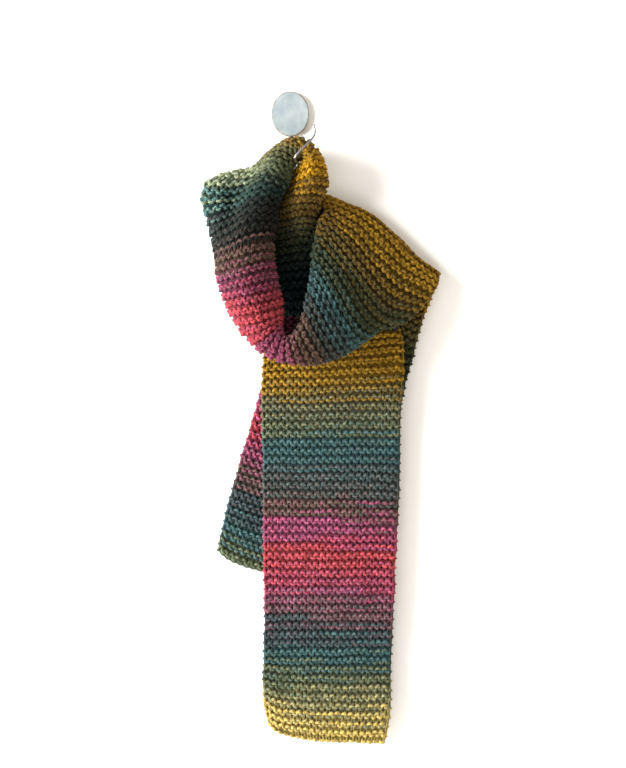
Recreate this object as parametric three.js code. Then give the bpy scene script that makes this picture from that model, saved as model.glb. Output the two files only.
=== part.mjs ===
// A long garter-stitch scarf looped once and hung by its middle on a wire wall hook.
// The whole scarf is one strip of knitting. It is worked out here as one surface through a
// table of sections, and then cut into the stretches that show. Millimetres, +Z up, the wall is
// the plane y = 0, and the scarf hangs in front of it towards -Y. The origin is the middle of
// the hook plate's back face.

import * as THREE from 'three';

// Driving sizes
const CLOTH_THICK = 6; // valley to valley through the ridges, as an average
const EDGE_THICK = 4.2; // the knitting is thinner at its two selvedges and its ends
const SEAM_GAP = 0.3;
const POINTS_ACROSS = 19;
const STEP_ALONG = 13;
const LEAST_STEPS = 3;
const LEAD_FROM = 0.1; // share of the width where a section starts to run ahead
const LEAD_FULL = 0.85;

const PLATE_WIDE = 42;
const PLATE_TALL = 50;
const PLATE_THICK = 4;
const PLATE_BEVEL = 1;
const WIRE_RADIUS = 1.1;
const WIRE_SIDES = 10;
const WIRE_STEPS = 44;

// Each row is one section across the strip. Its columns run from the selvedge that lines the
// neck opening to the other one: rim, lip, front, bend, under, hem. Each holds
// [right of the hook, out from the wall, up from the hook]. Where the knitting fans, lead is how
// many table rows a section's hem side runs ahead of its rim side.
const COLUMNS = ['rim', 'lip', 'front', 'bend', 'under', 'hem'];

// The back tail, from its cast-off end up to the fold.
const BACK_TAIL = [
  {
    rim: [-80, 7, -479], lip: [-67, 6, -491], front: [-36, 6, -502],
    bend: [-2, 5.5, -512], under: [31, 5.5, -521], hem: [63, 6, -527],
  },
  {
    rim: [-78, 6, -467], lip: [-62, 5.5, -477], front: [-31, 5.5, -489],
    bend: [2, 5.5, -498], under: [35, 5.5, -507], hem: [68, 5.5, -512],
  },
  flatRow([-60, 5, -400], [86, 5.5, -446], 1),
  flatRow([-34, 5.5, -309], [110, 5, -365], -0.5),
  flatRow([-8, 5, -230], [129, 5.5, -297], 0.5),
  flatRow([14, 5, -157], [146, 5, -232], 0),
  {
    rim: [34, 5, -97], lip: [62, 5, -108], front: [87, 5, -119],
    bend: [114, 5, -142], under: [140, 5, -168], hem: [164, 5, -186],
  },
];

// The right side, from the fold along its top, down and round to the bottom of the loop.
const RIGHT_DRAPE = [
  {
    rim: [35, 11, -91], lip: [62, 11, -102], front: [88, 11, -113],
    bend: [115, 11, -136], under: [141, 11, -162], hem: [165, 11, -180],
  },
  {
    rim: [35, 17, -98], lip: [60, 17, -107], front: [85, 17, -118],
    bend: [112, 17, -141], under: [138, 17, -167], hem: [164, 17, -185],
    lead: 0.15,
  },
  {
    rim: [39, 27, -131], lip: [33, 33, -121], front: [64, 33, -139],
    bend: [99, 29, -160], under: [130, 25, -178], hem: [160, 21, -196],
    lead: 0.65,
  },
  {
    rim: [37, 33, -165], lip: [26, 43, -154], front: [53, 47, -172],
    bend: [86, 42, -192], under: [117, 35, -208], hem: [145, 28, -214],
    lead: 1.1,
  },
  {
    rim: [35, 40, -196], lip: [23, 55, -185], front: [44, 63, -203],
    bend: [74, 58, -224], under: [101, 47, -235], hem: [122, 35, -234],
    lead: 1.2,
  },
  {
    rim: [30, 50, -220], lip: [18, 68, -213], front: [35, 78, -234],
    bend: [63, 72, -254], under: [86, 51, -248], hem: [95, 36, -223],
    lead: 1,
  },
];

// The bottom of the loop, a sling from its front lip down, back and up behind.
const LOOP_BOTTOM = [
  {
    rim: [15, 62, -244], lip: [12, 80, -238], front: [22, 88, -256],
    bend: [40, 79, -272], under: [53, 50, -261], hem: [57, 36, -226],
    lead: 0.5,
  },
  {
    rim: [1, 68, -257], lip: [-1, 86, -252], front: [1, 94, -264],
    bend: [8, 83, -276], under: [11, 48, -263], hem: [13, 35, -227],
    lead: 0.2,
  },
  {
    rim: [-10, 66, -249], lip: [-11, 83, -241], front: [-20, 92, -256],
    bend: [-27, 79, -265], under: [-24, 48, -258], hem: [-14, 33, -226],
  },
];

// The left side, doubled lengthways, from the bottom of the loop up to the hook.
const LEFT_DRAPE = [
  {
    rim: [-9, 60, -220], lip: [-12, 76, -223], front: [-35, 88, -231],
    bend: [-56, 72, -232], under: [-51, 42, -226], hem: [-24, 31, -216],
  },
  {
    rim: [-13, 52, -189], lip: [-19, 68, -190], front: [-47, 81, -196],
    bend: [-73, 62, -196], under: [-66, 34, -192], hem: [-35, 21, -187],
  },
  {
    rim: [-19, 44, -156], lip: [-23, 60, -157], front: [-52, 73, -161],
    bend: [-79, 54, -160], under: [-73, 26, -157], hem: [-34, 11, -154],
  },
  {
    rim: [-16, 38, -124], lip: [-21, 52, -121], front: [-46, 62, -121],
    bend: [-71, 40, -125], under: [-88, 33, -124], hem: [-43, 10, -131],
  },
  {
    rim: [-17, 34, -104], lip: [-12, 48, -97], front: [-34, 57, -93],
    bend: [-62, 32, -99], under: [-99, 34, -96], hem: [-50, 10, -107],
  },
  {
    rim: [-8, 32, -88], lip: [-4, 47, -79], front: [-23, 55, -73],
    bend: [-46, 38, -80], under: [-90, 33, -79], hem: [-33, 10, -95],
  },
];

// Gathered into a rolled tube where it passes over the wire.
const HOOK_GATHER = [
  {
    rim: [-3, 30, -73], lip: [0, 46, -65], front: [-14, 54, -57],
    bend: [-35, 40, -63], under: [-46, 23, -73], hem: [-16, 10, -84],
  },
  {
    rim: [2, 28, -60], lip: [6, 46, -52], front: [-3, 53, -43],
    bend: [-18, 41, -46], under: [-25, 19, -56], hem: [-12, 10, -66],
  },
  {
    rim: [10, 28, -53], lip: [14, 47, -47], front: [9, 53, -38],
    bend: [5, 38, -33], under: [2, 18, -36], hem: [5, 10, -47],
  },
  {
    rim: [17.5, 28, -61], lip: [18, 46, -54], front: [25, 53, -47],
    bend: [29, 38, -46], under: [27, 19, -48], hem: [17, 11, -56],
  },
];

// The inner strand, a lobe that drops inside the loop and opens out to its full width.
const INNER_STRAND = [
  {
    rim: [-4, 12, -74], lip: [12, 42, -66], front: [25, 52, -60],
    bend: [36, 38, -63], under: [34, 21, -67], hem: [19, 12, -69],
  },
  {
    rim: [-9, 11, -94], lip: [5, 35, -86], front: [22, 50, -82],
    bend: [40, 39, -82], under: [33, 27, -86], hem: [14, 13, -90],
  },
  {
    rim: [-18, 11, -109], lip: [-5, 33, -104], front: [13, 46, -101],
    bend: [31, 35, -100], under: [27, 22, -104], hem: [14, 13, -109],
  },
  {
    rim: [-22, 10, -123], lip: [-5, 30, -119], front: [10, 42, -115],
    bend: [24, 32, -115], under: [29, 19, -121], hem: [51, 14, -133],
  },
  {
    rim: [-26, 11, -145], lip: [-3, 24, -142], front: [10, 34, -139],
    bend: [22, 27, -140], under: [44, 17, -149], hem: [84, 14.5, -158],
  },
  {
    rim: [-28, 15, -172], lip: [-4, 21, -169], front: [12, 25, -166],
    bend: [29, 22, -166], under: [60, 18, -172], hem: [103, 15, -185],
  },
  {
    rim: [-28, 17, -209], lip: [-2, 19, -209], front: [24, 21, -207],
    bend: [51, 20, -205], under: [81, 19, -204], hem: [113, 18, -211],
  },
];

// The front tail, down to its rounded cast-on end.
const FRONT_TAIL = [
  flatRow([-29, 18, -240], [120, 18, -237], 3),
  flatRow([-30, 18, -270], [125, 18, -256], 2),
  flatRow([-31, 18, -300], [125, 17, -294], 2),
  flatRow([-31, 17, -333], [123, 17, -331], 1.5),
  flatRow([-30, 17, -399], [121, 16, -400], 1.5),
  flatRow([-30, 16, -465], [118, 16, -466], 1),
  flatRow([-29, 15, -531], [115, 16, -531], 1.5),
  flatRow([-29, 15, -597], [112, 14, -597], 1),
  {
    rim: [-28, 14, -655], lip: [-16, 14, -666], front: [15, 14, -672],
    bend: [48, 15, -674], under: [80, 14, -675], hem: [109, 14, -674],
  },
  {
    rim: [-24, 14, -671], lip: [-12, 14, -681], front: [18, 13, -688],
    bend: [50, 13, -690], under: [80, 13, -691], hem: [105, 14, -693],
  },
];

const STRETCHES = [
  { name: 'back_tail', rows: BACK_TAIL, colour: 0x6f4a5c },
  { name: 'right_drape', rows: RIGHT_DRAPE, colour: 0x6b6a3f },
  { name: 'loop_bottom', rows: LOOP_BOTTOM, colour: 0x8a4a6e },
  { name: 'left_drape', rows: LEFT_DRAPE, colour: 0xa8505c },
  { name: 'hook_gather', rows: HOOK_GATHER, colour: 0x5f6a4e },
  { name: 'inner_strand', rows: INNER_STRAND, colour: 0x8f7a34 },
  { name: 'front_tail', rows: FRONT_TAIL, colour: 0x5c6f6a },
];

// The wire, from the plate's lower edge down behind the gather, under it and up in front.
const WIRE_ROUTE = [
  [3, 2.2, -25.1],
  [5, 2.2, -36],
  [8, 2.4, -48],
  [9, 4.5, -55],
  [9.2, 12, -58.5],
  [9, 26, -58.3],
  [8.6, 38, -58.8],
  [7.5, 50, -59.5],
  [5.5, 58, -56],
  [12, 60, -47],
  [21, 61, -39],
  [27.5, 60.5, -29.5],
  [26, 57, -19.5],
];

// A section laid flat between its two selvedges, with its middle raised off the wall.
function flatRow(rim, hem, crown) {
  const row = {};
  COLUMNS.forEach((column, index) => {
    const share = index / (COLUMNS.length - 1);
    row[column] = rim.map((value, axis) => value + (hem[axis] - value) * share);
    row[column][1] += crown * Math.sin(Math.PI * share);
  });
  return row;
}

function place([right, out, up]) {
  return new THREE.Vector3(right, -out, up);
}

function smoothCurve(points) {
  return new THREE.CatmullRomCurve3(points, false, 'centripetal');
}

// The table's rows, each as evenly spaced points across the strip.
function tableSections() {
  return STRETCHES.flatMap(({ rows }) => rows).map((row) => {
    const across = smoothCurve(COLUMNS.map((column) => place(row[column])));
    return across.getSpacedPoints(POINTS_ACROSS - 1);
  });
}

// How far ahead of its table place each column of a section lies, in table rows.
function leadAt(leads, place, index) {
  const row = Math.min(Math.floor(place), leads.length - 2);
  const lead = leads[row] + (leads[row + 1] - leads[row]) * (place - row);
  return lead * THREE.MathUtils.smoothstep(index / (POINTS_ACROSS - 1), LEAD_FROM, LEAD_FULL);
}

function meanDistance(first, second) {
  const sum = first.reduce((total, point, index) => total + point.distanceTo(second[index]), 0);
  return sum / first.length;
}

// All sections along the strip, with the index of the section that stands for each table row.
function stripSections() {
  const table = tableSections();
  const leads = STRETCHES.flatMap(({ rows }) => rows).map(({ lead = 0 }) => lead);
  const lengthways = [];
  for (let index = 0; index < POINTS_ACROSS; index += 1) {
    lengthways.push(smoothCurve(table.map((section) => section[index])));
  }
  const sections = [];
  const tableAt = [];
  const last = table.length - 1;
  for (let row = 0; row < last; row += 1) {
    const distance = meanDistance(table[row], table[row + 1]);
    const steps = Math.max(LEAST_STEPS, Math.round(distance / STEP_ALONG));
    tableAt.push(sections.length);
    for (let step = 0; step < steps; step += 1) {
      const place = row + step / steps;
      sections.push(lengthways.map((curve, index) => (
        curve.getPoint((place + leadAt(leads, place, index)) / last)
      )));
    }
  }
  tableAt.push(sections.length);
  sections.push(table[last]);
  return { sections, tableAt };
}

// The direction across the strip at one point of a section.
function acrossAt(section, index) {
  const right = section[Math.min(index + 1, POINTS_ACROSS - 1)];
  const left = section[Math.max(index - 1, 0)];
  return right.clone().sub(left).normalize();
}

// The direction square to the cloth at one point of the strip.
function squareTo(sections, row, index) {
  const ahead = sections[Math.min(row + 1, sections.length - 1)][index];
  const behind = sections[Math.max(row - 1, 0)][index];
  const along = ahead.clone().sub(behind);
  return acrossAt(sections[row], index).cross(along).normalize();
}

function halfThickness(index) {
  const atEdge = index === 0 || index === POINTS_ACROSS - 1;
  return (atEdge ? EDGE_THICK : CLOTH_THICK) / 2;
}

// A section moved into its stretch, square to the seam, to open half of the seam's gap.
function movedIn(section, next) {
  return section.map((point, index) => {
    const across = acrossAt(section, index);
    const step = next[index].clone().sub(point);
    step.addScaledVector(across, -step.dot(across));
    return point.clone().add(step.setLength(SEAM_GAP / 2));
  });
}

// A closed wall of cloth from one section of the strip to another.
function clothWall(sections, first, last) {
  const middle = sections.slice(first, last + 1).map((section) => section.slice());
  const end = middle.length - 1;
  if (first > 0) {
    middle[0] = movedIn(middle[0], middle[1]);
  }
  if (last < sections.length - 1) {
    middle[end] = movedIn(middle[end], middle[end - 1]);
  }
  const positions = [];
  const pointAt = (row, index, side) => (row * POINTS_ACROSS + index) * 2 + side;
  middle.forEach((section, row) => {
    section.forEach((point, index) => {
      const offset = squareTo(sections, first + row, index).multiplyScalar(halfThickness(index));
      positions.push(...point.clone().add(offset).toArray());
      positions.push(...point.clone().sub(offset).toArray());
    });
  });
  const faces = [];
  const quad = (a, b, c, d) => faces.push(a, b, c, a, c, d);
  for (let row = 0; row < end; row += 1) {
    for (let index = 0; index < POINTS_ACROSS - 1; index += 1) {
      for (const side of [0, 1]) {
        const corners = [
          pointAt(row, index, side),
          pointAt(row, index + 1, side),
          pointAt(row + 1, index + 1, side),
          pointAt(row + 1, index, side),
        ];
        quad(...(side === 0 ? corners : corners.reverse()));
      }
    }
    const hem = POINTS_ACROSS - 1;
    quad(pointAt(row, 0, 1), pointAt(row, 0, 0), pointAt(row + 1, 0, 0), pointAt(row + 1, 0, 1));
    quad(
      pointAt(row, hem, 0), pointAt(row, hem, 1),
      pointAt(row + 1, hem, 1), pointAt(row + 1, hem, 0),
    );
  }
  for (let index = 0; index < POINTS_ACROSS - 1; index += 1) {
    quad(
      pointAt(0, index, 1), pointAt(0, index + 1, 1),
      pointAt(0, index + 1, 0), pointAt(0, index, 0),
    );
    quad(
      pointAt(end, index + 1, 0), pointAt(end, index + 1, 1),
      pointAt(end, index, 1), pointAt(end, index, 0),
    );
  }
  const geometry = new THREE.BufferGeometry();
  geometry.setAttribute('position', new THREE.Float32BufferAttribute(positions, 3));
  geometry.setIndex(faces);
  geometry.computeVertexNormals();
  return geometry;
}

function wool(colour) {
  return new THREE.MeshStandardMaterial({ color: colour, roughness: 0.95, metalness: 0 });
}

function scarfPieces() {
  const { sections, tableAt } = stripSections();
  let row = 0;
  return STRETCHES.map(({ name, rows, colour }) => {
    const first = tableAt[row];
    row = Math.min(row + rows.length, tableAt.length - 1);
    const mesh = new THREE.Mesh(clothWall(sections, first, tableAt[row]), wool(colour));
    mesh.name = name;
    return mesh;
  });
}

// A plain oval plate with softened edges, its back on the wall.
function wallPlate() {
  const outline = new THREE.Shape();
  const wide = PLATE_WIDE / 2 - PLATE_BEVEL;
  const tall = PLATE_TALL / 2 - PLATE_BEVEL;
  outline.absellipse(0, 0, wide, tall, 0, 2 * Math.PI);
  const geometry = new THREE.ExtrudeGeometry(outline, {
    depth: PLATE_THICK - 2 * PLATE_BEVEL,
    bevelThickness: PLATE_BEVEL,
    bevelSize: PLATE_BEVEL,
    bevelSegments: 2,
    curveSegments: 28,
  });
  geometry.translate(0, 0, PLATE_BEVEL);
  geometry.rotateX(Math.PI / 2);
  const paint = new THREE.MeshStandardMaterial({ color: 0xb4bfc2, roughness: 0.5 });
  const mesh = new THREE.Mesh(geometry, paint);
  mesh.name = 'wall_plate';
  return mesh;
}

function wireHook() {
  const section = new THREE.Shape();
  section.absarc(0, 0, WIRE_RADIUS, 0, 2 * Math.PI);
  const geometry = new THREE.ExtrudeGeometry(section, {
    steps: WIRE_STEPS,
    curveSegments: WIRE_SIDES,
    extrudePath: smoothCurve(WIRE_ROUTE.map(place)),
    bevelEnabled: false,
  });
  const steel = new THREE.MeshStandardMaterial({ color: 0xc9cccd, roughness: 0.3, metalness: 1 });
  const mesh = new THREE.Mesh(geometry, steel);
  mesh.name = 'wire_hook';
  return mesh;
}

const scarf = new THREE.Group();
scarf.add(...scarfPieces(), wallPlate(), wireHook());

export default scarf;
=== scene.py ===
"""A garter-stitch scarf in faded colour bands, looped once and hung on a wire wall hook.

The scarf is one long strip of knitting. Its form comes from a table of sections across the
strip. Each stretch that shows gets a thin core sheet and, over it, the yarn itself, which
runs to and fro in rows of interlocked loops. The tables are in millimetres, the scene is in
metres, +Z is up and the wall is the plane y = 0.
"""

import math
from collections import namedtuple

import bpy
import numpy as np
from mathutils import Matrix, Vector


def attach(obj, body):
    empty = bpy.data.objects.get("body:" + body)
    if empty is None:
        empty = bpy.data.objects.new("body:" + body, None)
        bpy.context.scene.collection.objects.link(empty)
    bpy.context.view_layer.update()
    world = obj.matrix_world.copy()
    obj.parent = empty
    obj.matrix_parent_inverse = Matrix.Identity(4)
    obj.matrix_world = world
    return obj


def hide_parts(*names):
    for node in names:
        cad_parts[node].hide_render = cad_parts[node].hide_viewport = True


MM = 0.001

# The form of the strip: sizes in millimetres, leads as shares across
POINTS_ACROSS = 37
COLUMNS = 6
SEAM_GAP = 0.3
LEAD_FROM = 0.1
LEAD_FULL = 0.85
SPACING_STEPS = 40
LENGTH_STEPS = 24
CREASE_FADE = 6
CORE_THICK = 0.8
CORE_INSET = 1.2

# The knitting: sizes in millimetres, the rest as shares of a stitch, a row or the yarn
RIDGE_PITCH = 9.6
SPARE_ROWS = 1
EDGE_MARGIN = 0.002
STEPS_A_STITCH = 8
YARN_SIDES = 6
YARN_RADIUS = 1.84
LOOP_DEPTH = 2.15
LOOP_SQUARENESS = 0.3
LOOP_WAIST = 0.19
LOOP_RISE = 0.98
LOOP_PUFF = 0.12
END_TUCK = 0.55
END_RUN = 2.4
THICK_AND_THIN = 0.42
SPINNING_PACE = 0.02
UNEVENNESS = 1.1
UNEVENNESS_SCALE = 130.0
SLACK = 2.4
SLACK_SCALE = 32.0

# Most of a noise lies between these two values
NOISE_LOW = 0.32
NOISE_HIGH = 0.68

# The wool: dye changes and strays in rows, pairs as the least and the most
DYE_DEPTH = 0.36
DYE_DRIFT = 8
DRIFT_PACE = 0.07
STRAY_REACH = 42
STRAY_SCALE = 260.0
STRAY_AMOUNT = 0.36
FIBRE_TURN = 4.4
FIBRE_DRAW = 0.35
FIBRE_SCALE = 2.6
FIBRE_TONE = (0.66, 1.25)
FLECK_SCALE = 340.0
FLECK_TONE = (0.28, 1.75)
FUZZ_SCALE = 1500.0
FUZZ_AMOUNT = 0.5
# Painted shade in the grooves between the loops and painted light on their crowns, as times the dye
CROWN_PAINTED_LIGHT = 0.56
GROOVE_PAINTED_SHADE = 0.6
CORE_MOTTLE_SCALE = 500.0
# Painted shade on the core sheet: its dye darkened, mottled between these two times
CORE_SHADE_AND_MOTTLE = (0.26, 0.62)
CORE_GRAIN_SCALE = 900.0

# The left side: painted light on its fold and painted shade on its inner half, both as shares across and
# along
FOLD_LIGHT = (2.45, 2.3, 2.5)
FOLD_LIGHT_SLANT = 0.62
FOLD_LIGHT_ACROSS = (0.84, 1.02)
FOLD_LIGHT_ALONG = (0.5, 0.64)
INNER_SHADE = (0.5, 0.5, 0.5)
INNER_SHADE_ACROSS = (0.16, 0.48)
INNER_SHADE_FROM = (0.32, 0.46)
INNER_SHADE_TO = (0.84, 1.0)

# The hook's plate and wire: sizes in metres, pairs as the least and the most
PLATE_HALF_WIDTH = 0.021
PLATE_HALF_HEIGHT = 0.025
PAINT_PALE = (152, 159, 159)
PAINT_COOL = (122, 134, 138)
PAINT_GROUND = (104, 84, 62)
PAINT_CLOUD_SCALE = 70.0
PAINT_GLOSS_SCALE = 340.0
PAINT_GLOSS = (0.42, 0.62)
PAINT_GRAIN_SCALE = 500.0
RUBBED_SCALE = 260.0
RUBBED_DEPTH = 0.22
RUBBED_RIM = (1.03, 1.12)
STEEL_CLOUD_SCALE = 300.0
STEEL_TONE = (0.2, 0.34)
STEEL_GLOSS_SCALE = 900.0
STEEL_GLOSS = (0.22, 0.4)
STEEL_GRAIN_SCALE = 2500.0

# Relief in the materials: its height in metres and its strength
YARN_RELIEF = (0.0007, 0.8)
CORE_RELIEF = (0.0006, 0.6)
PAINT_RELIEF = (0.0004, 0.35)
STEEL_RELIEF = (0.0002, 0.3)

# The room, in metres
ROOM_HALF_WIDTH = 3
ROOM_HALF_DEPTH = 4
WALL_AT = 0.001
WALL_TOP = 2.5
FLOOR_AT = -1.2
WALL_PAINT = (0.87, 0.865, 0.855)
FLOOR_PAINT = (0.82, 0.815, 0.8)
SKY = (0.93, 0.96, 1.0)
SKY_STRENGTH = 0.31

# The lights: name, place, size, power and colour; all point at the middle of the scarf
LIGHTS_POINT_AT = (0.02, 0.0, -0.3)
LIGHTS = [
    ("window_left", (-2.15, -0.9, 0.1), 1.6, 235, (0.98, 0.99, 1.0)),
    ("room_right", (2.0, -0.9, 0.0), 1.4, 22, (1.0, 0.8, 0.52)),
    ("room_above", (0.1, -0.9, 1.7), 1.0, 9, (1.0, 0.99, 0.97)),
    ("behind_left", (-1.3, 1.6, 0.5), 1.2, 16, (1.0, 0.98, 0.95)),
    ("behind_right", (1.3, 1.5, 0.1), 1.2, 14, (0.96, 0.98, 1.0)),
]

# The camera: its place in millimetres, level and square on to the wall
CAMERA_AT = (25.3, -2000, -299)
CAMERA_LENS = 84.54
CAMERA_SENSOR = 36
CAMERA_REACH = 20


def flat_row(rim, hem, crown):
    """A section laid flat between its two selvedges, with its middle raised off the wall."""
    share = np.linspace(0, 1, COLUMNS)[:, None]
    row = np.array(rim) * (1 - share) + np.array(hem) * share
    row[:, 1] += crown * np.sin(math.pi * share[:, 0])
    return row


# Each row is a section across the strip: rim, lip, front, bend, under, hem. Each point is
# right of the hook, out from the wall, up from the hook.
BACK_TAIL = [
    [(-80, 7, -479), (-67, 6, -491), (-36, 6, -502), (-2, 5.5, -512), (31, 5.5, -521), (63, 6, -527)],
    [(-78, 6, -467), (-62, 5.5, -477), (-31, 5.5, -489), (2, 5.5, -498), (35, 5.5, -507), (68, 5.5, -512)],
    flat_row((-60, 5, -400), (86, 5.5, -446), 1),
    flat_row((-34, 5.5, -309), (110, 5, -365), -0.5),
    flat_row((-8, 5, -230), (129, 5.5, -297), 0.5),
    flat_row((14, 5, -157), (146, 5, -232), 0),
    [(34, 5, -97), (62, 5, -108), (87, 5, -119), (114, 5, -142), (140, 5, -168), (164, 5, -186)],
]
RIGHT_DRAPE = [
    [(35, 11, -91), (62, 11, -102), (88, 11, -113), (115, 11, -136), (141, 11, -162), (165, 11, -180)],
    [(35, 17, -98), (60, 17, -107), (85, 17, -118), (112, 17, -141), (138, 17, -167), (164, 17, -185)],
    [(39, 27, -131), (33, 33, -121), (64, 33, -139), (99, 29, -160), (130, 25, -178), (160, 21, -196)],
    [(37, 33, -165), (26, 43, -154), (53, 47, -172), (86, 42, -192), (117, 35, -208), (145, 28, -214)],
    [(35, 40, -196), (23, 55, -185), (44, 63, -203), (74, 58, -224), (101, 47, -235), (122, 35, -234)],
    [(30, 50, -220), (18, 68, -213), (35, 78, -234), (63, 72, -254), (86, 51, -248), (95, 36, -223)],
]
LOOP_BOTTOM = [
    [(15, 62, -244), (12, 80, -238), (22, 88, -256), (40, 79, -272), (53, 50, -261), (57, 36, -226)],
    [(1, 68, -257), (-1, 86, -252), (1, 94, -264), (8, 83, -276), (11, 48, -263), (13, 35, -227)],
    [(-10, 66, -249), (-11, 83, -241), (-20, 92, -256), (-27, 79, -265), (-24, 48, -258), (-14, 33, -226)],
]
LEFT_DRAPE = [
    [(-9, 60, -220), (-12, 76, -223), (-35, 88, -231), (-56, 72, -232), (-51, 42, -226), (-24, 31, -216)],
    [(-13, 52, -189), (-19, 68, -190), (-47, 81, -196), (-73, 62, -196), (-66, 34, -192), (-35, 21, -187)],
    [(-19, 44, -156), (-23, 60, -157), (-52, 73, -161), (-79, 54, -160), (-73, 26, -157), (-34, 11, -154)],
    [(-16, 38, -124), (-21, 52, -121), (-46, 62, -121), (-71, 40, -125), (-88, 33, -124), (-43, 10, -131)],
    [(-17, 34, -104), (-12, 48, -97), (-34, 57, -93), (-62, 32, -99), (-99, 34, -96), (-50, 10, -107)],
    [(-8, 32, -88), (-4, 47, -79), (-23, 55, -73), (-46, 38, -80), (-90, 33, -79), (-33, 10, -95)],
]
HOOK_GATHER = [
    [(-3, 30, -73), (0, 46, -65), (-14, 54, -57), (-35, 40, -63), (-46, 23, -73), (-16, 10, -84)],
    [(2, 28, -60), (6, 46, -52), (-3, 53, -43), (-18, 41, -46), (-25, 19, -56), (-12, 10, -66)],
    [(10, 28, -53), (14, 47, -47), (9, 53, -38), (5, 38, -33), (2, 18, -36), (5, 10, -47)],
    [(17.5, 28, -61), (18, 46, -54), (25, 53, -47), (29, 38, -46), (27, 19, -48), (17, 11, -56)],
]
INNER_STRAND = [
    [(-4, 12, -74), (12, 42, -66), (25, 52, -60), (36, 38, -63), (34, 21, -67), (19, 12, -69)],
    [(-9, 11, -94), (5, 35, -86), (22, 50, -82), (40, 39, -82), (33, 27, -86), (14, 13, -90)],
    [(-18, 11, -109), (-5, 33, -104), (13, 46, -101), (31, 35, -100), (27, 22, -104), (14, 13, -109)],
    [(-22, 10, -123), (-5, 30, -119), (10, 42, -115), (24, 32, -115), (29, 19, -121), (51, 14, -133)],
    [(-26, 11, -145), (-3, 24, -142), (10, 34, -139), (22, 27, -140), (44, 17, -149), (84, 14.5, -158)],
    [(-28, 15, -172), (-4, 21, -169), (12, 25, -166), (29, 22, -166), (60, 18, -172), (103, 15, -185)],
    [(-28, 17, -209), (-2, 19, -209), (24, 21, -207), (51, 20, -205), (81, 19, -204), (113, 18, -211)],
]
FRONT_TAIL = [
    flat_row((-29, 18, -240), (120, 18, -237), 3),
    flat_row((-30, 18, -270), (125, 18, -256), 2),
    flat_row((-31, 18, -300), (125, 17, -294), 2),
    flat_row((-31, 17, -333), (123, 17, -331), 1.5),
    flat_row((-30, 17, -399), (121, 16, -400), 1.5),
    flat_row((-30, 16, -465), (118, 16, -466), 1),
    flat_row((-29, 15, -531), (115, 16, -531), 1.5),
    flat_row((-29, 15, -597), (112, 14, -597), 1),
    [(-28, 14, -655), (-16, 14, -666), (15, 14, -672), (48, 15, -674), (80, 14, -675), (109, 14, -674)],
    [(-24, 14, -671), (-12, 14, -681), (18, 13, -688), (50, 13, -690), (80, 13, -691), (105, 14, -693)],
]

# Where the knitting fans: how many table rows each section's hem side runs ahead of its rim,
# or behind it where the number is below nought
LEADS = {
    "right_drape": (0, 0.25, 0.85, 1.4, 1.5, 1.15),
    "loop_bottom": (0.5, 0.2, 0),
    "left_drape": (0, -0.25, -0.55, -0.85, -0.75, -0.4),
}

# The yarn's dye colours, as seen in plain light; two of them are darkened further as painted shade
DYES = {
    "gold": (255, 222, 124),
    "amber": (232, 170, 30),
    "mustard": (194, 148, 44),
    "bronze": (130, 103, 46),
    "straw": (176, 172, 124),
    "olive": (128, 122, 80),
    "moss": (124, 134, 100),
    "lichen": (132, 134, 106),
    "pine": (92, 98, 68),
    "fir": (72, 82, 58),
    "spruce": (60, 92, 86),
    "teal": (82, 124, 126),
    "deep_teal": (66, 96, 96),
    "slate": (100, 108, 106),
    "graphite": (74, 82, 78),
    "charcoal": (86, 100, 102),
    # A charcoal darkened further as painted shade, for the left side's band in shadow
    "charcoal_and_shade": (50, 54, 50),
    # A dark teal darkened further as painted shade, for the inside of the loop
    "dark_teal_and_shade": (48, 62, 62),
    "umber": (116, 92, 76),
    "taupe": (130, 106, 94),
    "mauve": (146, 108, 116),
    "orchid": (196, 106, 150),
    "magenta": (198, 100, 142),
    "plum": (152, 80, 108),
    "wine": (156, 72, 102),
    "rose": (208, 92, 118),
    "red": (198, 84, 112),
    "crimson": (212, 82, 90),
    "coral": (232, 94, 98),
}

# Where each dye lies along a stretch, from 0 at its first row to 1 at its last
BACK_TAIL_DYES = [
    (0, "moss"), (0.04, "moss"), (0.06, "teal"), (0.095, "teal"), (0.12, "charcoal"),
    (0.19, "charcoal"), (0.215, "taupe"), (0.25, "taupe"), (0.28, "magenta"), (0.31, "magenta"),
    (0.34, "crimson"), (0.4, "crimson"), (0.44, "magenta"), (0.48, "orchid"), (0.51, "taupe"),
    (0.55, "slate"), (0.6, "deep_teal"), (0.65, "fir"), (0.7, "fir"), (0.75, "olive"),
    (0.82, "bronze"), (0.9, "mustard"), (1, "mustard"),
]
RIGHT_DRAPE_DYES = [
    (0, "mustard"), (0.17, "mustard"), (0.23, "bronze"), (0.33, "bronze"), (0.42, "pine"),
    (0.6, "fir"), (0.67, "teal"), (0.76, "teal"), (0.81, "graphite"), (0.92, "graphite"),
    (1, "umber"),
]
LOOP_BOTTOM_DYES = [
    (0, "umber"), (0.2, "umber"), (0.4, "wine"), (0.66, "wine"), (0.84, "crimson"), (1, "crimson"),
]
# The darkest band, from 0.44 to 0.64, is a charcoal darkened as painted shade
LEFT_DRAPE_DYES = [
    (0, "crimson"), (0.09, "crimson"), (0.17, "wine"), (0.25, "plum"), (0.32, "umber"),
    (0.38, "umber"), (0.44, "charcoal_and_shade"), (0.64, "charcoal_and_shade"), (0.7, "spruce"), (0.77, "spruce"),
    (0.83, "moss"), (0.9, "moss"), (0.96, "pine"), (1, "pine"),
]
HOOK_GATHER_DYES = [
    (0, "pine"), (0.25, "olive"), (0.5, "bronze"), (0.78, "mustard"), (0.92, "amber"), (1, "amber"),
]
# The last band, from 0.66 on, is a dark teal darkened as painted shade
INNER_STRAND_DYES = [
    (0, "amber"), (0.04, "amber"), (0.08, "mustard"), (0.12, "bronze"), (0.3, "bronze"),
    (0.4, "pine"), (0.52, "fir"), (0.66, "dark_teal_and_shade"), (1, "dark_teal_and_shade"),
]
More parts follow.
